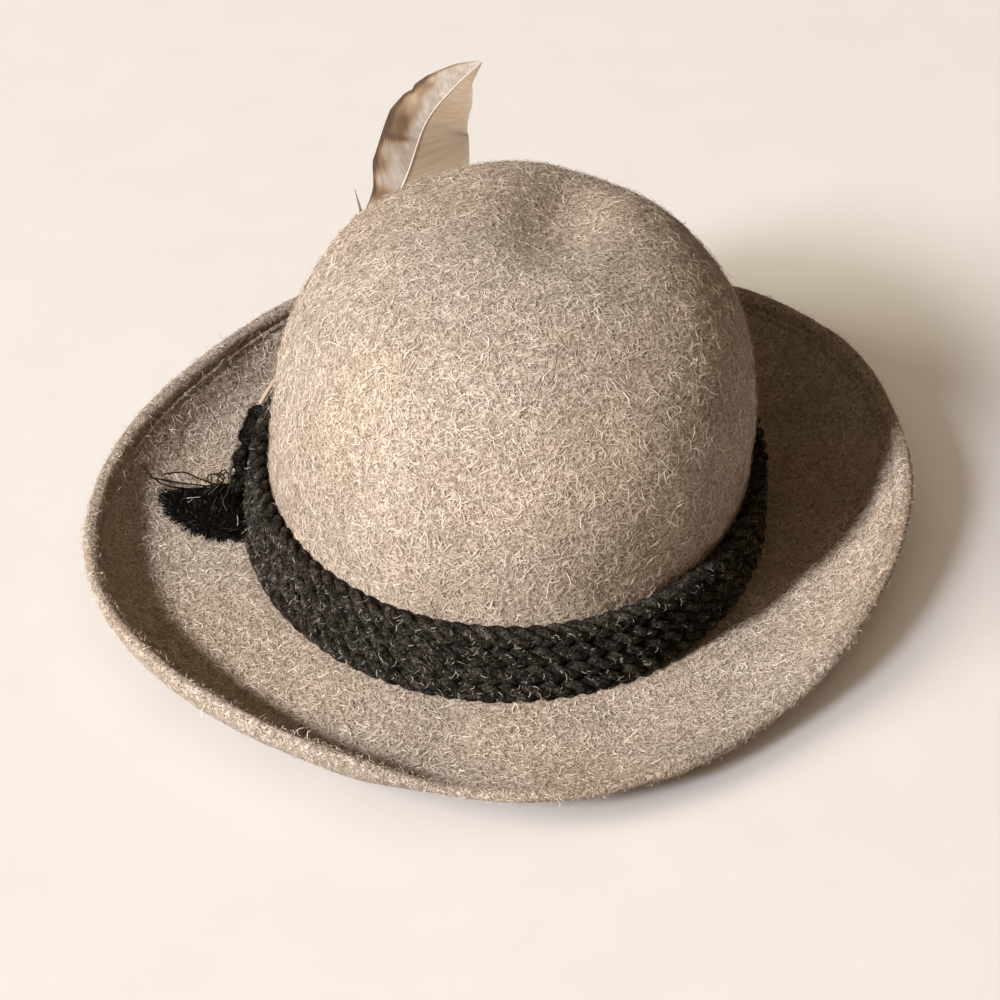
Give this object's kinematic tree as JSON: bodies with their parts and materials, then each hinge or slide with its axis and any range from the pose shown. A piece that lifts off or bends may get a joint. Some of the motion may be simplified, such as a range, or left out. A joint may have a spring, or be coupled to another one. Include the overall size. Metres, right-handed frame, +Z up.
{
  "type": "tyrolean hat",
  "caption": "Soft felt hat with a round crown, a brim curled up at the back and sides, a wool cord band, a cord tassel and a feather.",
  "frame": {"origin": "centre of the hat's outline in plan, on the surface that the brim rests on", "axes": "+Z up through the crown, -Y to the front of the hat, +X to the side away from the feather"},
  "size_m": [0.2872, 0.3184, 0.1348],
  "materials": {
    "felt": "long-haired velour felt, matt",
    "wool_cord": "twisted fuzzy wool, matt",
    "feather_vane": "smooth barbs with a soft sheen"
  },
  "bodies": {
    "root": {"felt_hood": "felt", "band_cord_1": "wool_cord", "band_cord_2": "wool_cord", "band_cord_3": "wool_cord", "band_cord_4": "wool_cord", "trim_knot": "wool_cord", "tassel": "wool_cord", "feather": "feather_vane", "small_plume": "feather_vane"}
  },
  "joints": []
}
